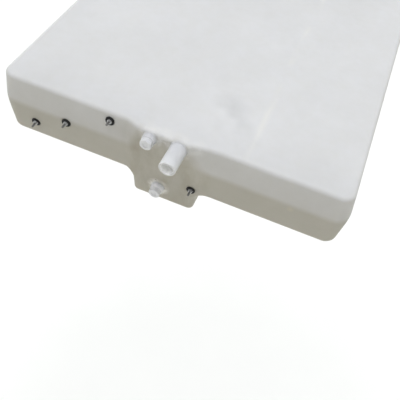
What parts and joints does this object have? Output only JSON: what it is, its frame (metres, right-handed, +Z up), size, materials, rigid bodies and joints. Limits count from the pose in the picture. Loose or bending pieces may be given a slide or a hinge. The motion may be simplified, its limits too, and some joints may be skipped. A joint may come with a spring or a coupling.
{
  "type": "fresh water tank",
  "caption": "Flat moulded fresh water tank with a front fitting pad, a sump, a fill spigot, plugged vent and drain ports, and level probes in rubber grommets.",
  "frame": {"origin": "centre of the tank's flat underside, level with it; the sump hangs below", "axes": "+X to the tank's right seen from the fittings, -Y out of the front wall that carries the fittings, +Z up"},
  "size_m": [0.762, 1.28, 0.209],
  "materials": {
    "natural_polyethylene": "milky satin, slightly translucent",
    "white_polyethylene": "satin",
    "white_nylon": "satin",
    "seal_rubber": "matt",
    "black_rubber": "satin",
    "stainless_steel": "dulled",
    "zinc_steel": "bright zinc"
  },
  "bodies": {
    "tank": {"tank_shell": "natural_polyethylene", "fill_spigot": "white_polyethylene", "vent_port": "white_polyethylene", "drain_port": "white_polyethylene", "probe_sump_grommet": "black_rubber", "probe_sump_stud": "stainless_steel", "probe_sump_washer": "zinc_steel", "probe_sump_nut": "zinc_steel", "probe_low_grommet": "black_rubber", "probe_low_stud": "stainless_steel", "probe_low_washer": "zinc_steel", "probe_low_nut": "zinc_steel", "probe_mid_grommet": "black_rubber", "probe_mid_stud": "stainless_steel", "probe_mid_washer": "zinc_steel", "probe_mid_nut": "zinc_steel", "probe_full_grommet": "black_rubber", "probe_full_stud": "stainless_steel", "probe_full_washer": "zinc_steel", "probe_full_nut": "zinc_steel"},
    "vent_seal": {"vent_plug_washer": "seal_rubber"},
    "vent_screw": {"vent_plug": "white_nylon"},
    "drain_seal": {"drain_plug_washer": "seal_rubber"},
    "drain_screw": {"drain_plug": "white_nylon"}
  },
  "joints": [
    {"name": "vent_plug_travel", "type": "slide", "parent": "tank", "child": "vent_seal", "axis": [0, -1, 0], "range_m": [0, 0.009]},
    {"name": "vent_plug_turn", "type": "hinge", "parent": "vent_seal", "child": "vent_screw", "pos_m": [-0.038, -0.613, 0.129], "axis": [0, -1, 0], "range_deg": [0, 1800]},
    {"name": "drain_plug_travel", "type": "slide", "parent": "tank", "child": "drain_seal", "axis": [0, -0.9986, -0.0523], "range_m": [0, 0.009]},
    {"name": "drain_plug_turn", "type": "hinge", "parent": "drain_seal", "child": "drain_screw", "pos_m": [-0.0175, -0.60799, -0.017], "axis": [0, -0.9986, -0.0523], "range_deg": [0, 1800]}
  ],
  "couplings": [
    {"joint": "vent_plug_travel", "follows": "vent_plug_turn", "m_per_rad": 0.00028647},
    {"joint": "drain_plug_travel", "follows": "drain_plug_turn", "m_per_rad": 0.00028647}
  ]
}
